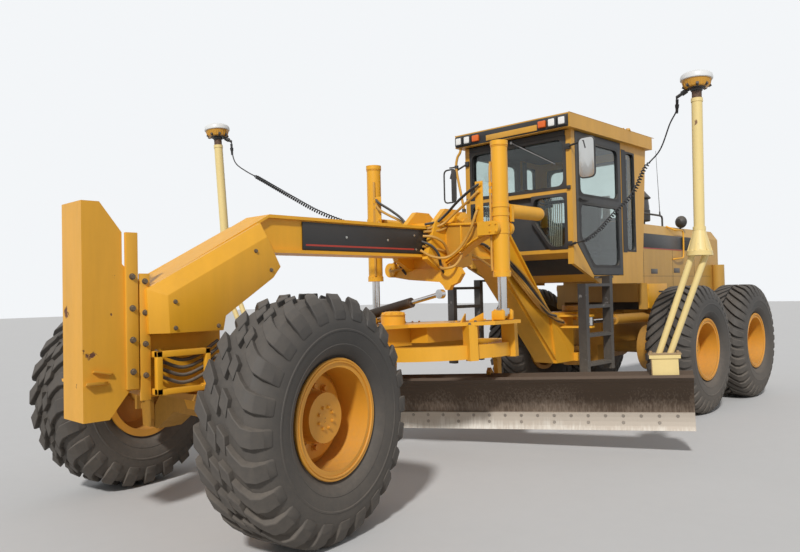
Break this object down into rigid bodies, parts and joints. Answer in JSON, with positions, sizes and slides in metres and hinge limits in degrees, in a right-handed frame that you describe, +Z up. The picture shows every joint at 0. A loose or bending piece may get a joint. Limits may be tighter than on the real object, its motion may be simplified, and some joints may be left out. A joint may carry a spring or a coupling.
{
  "type": "motor grader",
  "caption": "Articulated motor grader: box beam, push block, swinging circle and blade with two masts, cab, engine hood and tandem wheels.",
  "frame": {"origin": "on the ground, under the middle of the machine's box", "axes": "+X forward along the frame, +Y to the operator's left, +Z up"},
  "size_m": [9.43, 4.5929, 3.3327],
  "materials": {
    "yellow_paint": "faded ochre machine paint, scuffed",
    "engine_iron": "bare casting",
    "black_paint": "satin black",
    "window_glass": "lightly dusty",
    "seat_cloth": "woven",
    "dark_plastic": "grained",
    "lamp_lens": "clear ribbed lens over a reflector",
    "tyre_rubber": "dusty",
    "joint_steel": "greasy",
    "blade_steel": "worn bare, brown dust",
    "edge_steel": "polished by the ground",
    "rod_chrome": "polished",
    "mast_paint": "pale cream yellow",
    "receiver_shell": "white dome over a yellow base",
    "cable_sheath": "coiled sheath"
  },
  "bodies": {
    "rear_body": {"rear_frame": "yellow_paint", "tandem_cases": "yellow_paint", "engine_block": "engine_iron", "hood": "yellow_paint", "engine_stacks": "black_paint", "cab_shell": "yellow_paint", "cab_glass": "window_glass", "seat": "seat_cloth", "control_console": "dark_plastic", "ladders": "black_paint", "cab_fittings": "black_paint", "work_lamps": "lamp_lens"},
    "cab_door_left": {"door_left": "black_paint", "door_glass_left": "window_glass"},
    "cab_door_right": {"door_right": "black_paint", "door_glass_right": "window_glass"},
    "front_body": {"front_frame": "yellow_paint", "beam_panels": "yellow_paint", "push_block": "yellow_paint", "lift_saddle": "yellow_paint", "front_axle": "yellow_paint"},
    "lean_left": {"lean_yoke_left": "yellow_paint"},
    "lean_right": {"lean_yoke_right": "yellow_paint"},
    "lean_link": {"lean_bar": "yellow_paint"},
    "steer_left": {"knuckle_left": "yellow_paint"},
    "steer_right": {"knuckle_right": "yellow_paint"},
    "tie_joint": {"tie_ball": "joint_steel"},
    "tie_link": {"tie_rod": "yellow_paint"},
    "front_wheel_left": {"front_rim_left": "yellow_paint", "front_tyre_left": "tyre_rubber"},
    "front_wheel_right": {"front_rim_right": "yellow_paint", "front_tyre_right": "tyre_rubber"},
    "rear_wheel_fl": {"rear_rim_fl": "yellow_paint", "rear_tyre_fl": "tyre_rubber"},
    "rear_wheel_fr": {"rear_rim_fr": "yellow_paint", "rear_tyre_fr": "tyre_rubber"},
    "rear_wheel_rl": {"rear_rim_rl": "yellow_paint", "rear_tyre_rl": "tyre_rubber"},
    "rear_wheel_rr": {"rear_rim_rr": "yellow_paint", "rear_tyre_rr": "tyre_rubber"},
    "drawbar_ball_body": {"drawbar_ball": "joint_steel"},
    "drawbar_socket_body": {"drawbar_socket": "joint_steel"},
    "drawbar_body": {"drawbar": "yellow_paint"},
    "circle_body": {"circle": "yellow_paint"},
    "tip_body": {"tip_frame": "yellow_paint"},
    "blade_body": {"moldboard": "blade_steel", "cutting_edge": "edge_steel", "masts": "mast_paint", "receivers": "receiver_shell", "receiver_cords": "cable_sheath"},
    "lift_cylinder_left": {"lift_barrel_left": "yellow_paint"},
    "lift_cylinder_right": {"lift_barrel_right": "yellow_paint"},
    "lift_piston_left": {"lift_rod_left": "rod_chrome"},
    "lift_piston_right": {"lift_rod_right": "rod_chrome"},
    "shift_cylinder": {"shift_barrel": "joint_steel"},
    "shift_piston": {"shift_rod": "rod_chrome"},
    "artic_cylinder_left": {"artic_barrel_left": "yellow_paint"},
    "artic_cylinder_right": {"artic_barrel_right": "yellow_paint"},
    "artic_piston_left": {"artic_rod_left": "rod_chrome"},
    "artic_piston_right": {"artic_rod_right": "rod_chrome"}
  },
  "joints": [
    {"name": "articulation", "type": "hinge", "parent": "rear_body", "child": "front_body", "pos_m": [-1.165, 0, 0.925], "axis": [0, 0, 1], "range_deg": [-20, 20]},
    {"name": "door_left_hinge", "type": "hinge", "parent": "rear_body", "child": "cab_door_left", "pos_m": [-1.115, 0.683, 2.4], "axis": [0, 0, 1], "range_deg": [0, 110]},
    {"name": "door_right_hinge", "type": "hinge", "parent": "rear_body", "child": "cab_door_right", "pos_m": [-1.115, -0.683, 2.4], "axis": [0, 0, -1], "range_deg": [0, 110]},
    {"name": "lean_left_pivot", "type": "hinge", "parent": "front_body", "child": "lean_left", "pos_m": [3.785, 0.72, 0.56], "axis": [1, 0, 0], "range_deg": [-18, 18]},
    {"name": "lean_right_pivot", "type": "hinge", "parent": "front_body", "child": "lean_right", "pos_m": [3.785, -0.72, 0.56], "axis": [1, 0, 0], "range_deg": [-18.5, 18.5]},
    {"name": "lean_bar_pivot", "type": "hinge", "parent": "lean_left", "child": "lean_link", "pos_m": [3.95, 0.72, 0.8], "axis": [1, 0, 0], "range_deg": [-18.5, 18.5]},
    {"name": "steer_left_pivot", "type": "hinge", "parent": "lean_left", "child": "steer_left", "pos_m": [3.785, 0.84, 0.745], "axis": [0, 0, 1], "range_deg": [-60, 40]},
    {"name": "steer_right_pivot", "type": "hinge", "parent": "lean_right", "child": "steer_right", "pos_m": [3.785, -0.84, 0.745], "axis": [0, 0, 1], "range_deg": [-60.5, 40.5]},
    {"name": "tie_rod_swivel", "type": "hinge", "parent": "steer_left", "child": "tie_joint", "pos_m": [3.5388, 0.79659, 0.94], "axis": [0, 0, 1], "range_deg": [-40.5, 60.5]},
    {"name": "tie_rod_tilt", "type": "hinge", "parent": "tie_joint", "child": "tie_link", "pos_m": [3.5388, 0.79659, 0.94], "axis": [1, 0, 0], "range_deg": [-15.6, 15.6]},
    {"name": "front_wheel_left_spin", "type": "hinge", "parent": "steer_left", "child": "front_wheel_left", "pos_m": [3.73985, 1.09605, 0.745], "axis": [-0.1736, 0.9848, 0], "continuous": true},
    {"name": "front_wheel_right_spin", "type": "hinge", "parent": "steer_right", "child": "front_wheel_right", "pos_m": [3.83015, -1.09605, 0.745], "axis": [-0.1736, 0.9848, 0], "continuous": true},
    {"name": "rear_wheel_fl_spin", "type": "hinge", "parent": "rear_body", "child": "rear_wheel_fl", "pos_m": [-1.947, 1.1, 0.745], "axis": [0, 1, 0], "continuous": true},
    {"name": "rear_wheel_fr_spin", "type": "hinge", "parent": "rear_body", "child": "rear_wheel_fr", "pos_m": [-1.947, -1.1, 0.745], "axis": [0, 1, 0], "continuous": true},
    {"name": "rear_wheel_rl_spin", "type": "hinge", "parent": "rear_body", "child": "rear_wheel_rl", "pos_m": [-3.603, 1.1, 0.745], "axis": [0, 1, 0], "continuous": true},
    {"name": "rear_wheel_rr_spin", "type": "hinge", "parent": "rear_body", "child": "rear_wheel_rr", "pos_m": [-3.603, -1.1, 0.745], "axis": [0, 1, 0], "continuous": true},
    {"name": "blade_lift_left", "type": "hinge", "parent": "front_body", "child": "drawbar_ball_body", "pos_m": [3.455, 0, 1.05], "axis": [0.9322, 0.3545, -0.0734], "range_deg": [-18, 9.5], "deforming": ["receiver_cords"]},
    {"name": "blade_lift_right", "type": "hinge", "parent": "drawbar_ball_body", "child": "drawbar_socket_body", "pos_m": [3.455, 0, 1.05], "axis": [-0.9322, 0.3486, 0.098], "range_deg": [-15, 12.5]},
    {"name": "centre_shift", "type": "hinge", "parent": "drawbar_socket_body", "child": "drawbar_body", "pos_m": [3.455, 0, 1.05], "axis": [0, 0, 1], "range_deg": [-8, 8]},
    {"name": "circle_turn", "type": "hinge", "parent": "drawbar_body", "child": "circle_body", "pos_m": [1.335, 0.00419, 0.93007], "axis": [0, 0.0349, -0.9994], "range_deg": [-15, 50]},
    {"name": "blade_tip", "type": "hinge", "parent": "circle_body", "child": "tip_body", "pos_m": [1.16225, -0.06302, 0.58829], "axis": [-0.4163, 0.9087, 0.0317], "range_deg": [-30, 10]},
    {"name": "blade_side_shift", "type": "slide", "parent": "tip_body", "child": "blade_body", "axis": [0.4163, -0.9087, -0.0317], "range_m": [-0.66, 0.66]},
    {"name": "lift_left_tilt", "type": "hinge", "parent": "front_body", "child": "lift_cylinder_left", "pos_m": [1.335, 0.8, 2.03], "axis": [1, 0, 0], "range_deg": [-21.5, 21.5]},
    {"name": "lift_left_slide", "type": "slide", "parent": "lift_cylinder_left", "child": "lift_piston_left", "axis": [0, 0, 1], "range_m": [-0.47, 0.25]},
    {"name": "lift_right_tilt", "type": "hinge", "parent": "front_body", "child": "lift_cylinder_right", "pos_m": [1.335, -0.8, 2.03], "axis": [1, 0, 0], "range_deg": [-21.5, 21.5]},
    {"name": "lift_right_slide", "type": "slide", "parent": "lift_cylinder_right", "child": "lift_piston_right", "axis": [0, 0, 1], "range_m": [-0.4, 0.33]},
    {"name": "shift_cylinder_tilt", "type": "hinge", "parent": "drawbar_body", "child": "shift_cylinder", "pos_m": [1.565, -0.80691, 1.23395], "axis": [0.9322, 0.3545, -0.0734], "range_deg": [-9.6, 18.1]},
    {"name": "shift_rod_slide", "type": "slide", "parent": "shift_cylinder", "child": "shift_piston", "axis": [0, 0.9791, 0.2036], "range_m": [-0.3, 0.3]},
    {"name": "artic_left_swing", "type": "hinge", "parent": "rear_body", "child": "artic_cylinder_left", "pos_m": [-2.065, 0.56, 1.11], "axis": [0, 0, 1], "range_deg": [-6, 6]},
    {"name": "artic_left_slide", "type": "slide", "parent": "artic_cylinder_left", "child": "artic_piston_left", "axis": [0.9946, -0.1034, 0], "range_m": [-0.18, 0.18]},
    {"name": "artic_right_swing", "type": "hinge", "parent": "rear_body", "child": "artic_cylinder_right", "pos_m": [-2.065, -0.56, 1.11], "axis": [0, 0, 1], "range_deg": [-6, 6]},
    {"name": "artic_right_slide", "type": "slide", "parent": "artic_cylinder_right", "child": "artic_piston_right", "axis": [0.9946, 0.1034, 0], "range_m": [-0.18, 0.18]}
  ],
  "couplings": [
    {"joint": "lean_right_pivot", "follows": "lean_left_pivot", "ratio": 1},
    {"joint": "lean_bar_pivot", "follows": "lean_left_pivot", "ratio": -1},
    {"joint": "tie_rod_tilt", "follows": "lean_left_pivot", "ratio": -0.8485},
    {"joint": "steer_right_pivot", "follows": "steer_left_pivot", "ratio": 1},
    {"joint": "tie_rod_swivel", "follows": "steer_left_pivot", "ratio": -1},
    {"joint": "lift_left_slide", "follows": "blade_lift_left", "m_per_rad": 1.4905},
    {"joint": "lift_right_slide", "follows": "blade_lift_right", "m_per_rad": 1.4905},
    {"joint": "lift_left_tilt", "follows": "centre_shift", "ratio": -2.58},
    {"joint": "lift_right_tilt", "follows": "centre_shift", "ratio": -2.58},
    {"joint": "shift_rod_slide", "follows": "centre_shift", "m_per_rad": 1.8504},
    {"joint": "shift_cylinder_tilt", "follows": "blade_lift_left", "ratio": -1},
    {"joint": "artic_left_swing", "follows": "articulation", "ratio": 0.23525},
    {"joint": "artic_right_swing", "follows": "articulation", "ratio": 0.23525},
    {"joint": "artic_left_slide", "follows": "articulation", "m_per_rad": -0.45961},
    {"joint": "artic_right_slide", "follows": "articulation", "m_per_rad": 0.45961}
  ]
}
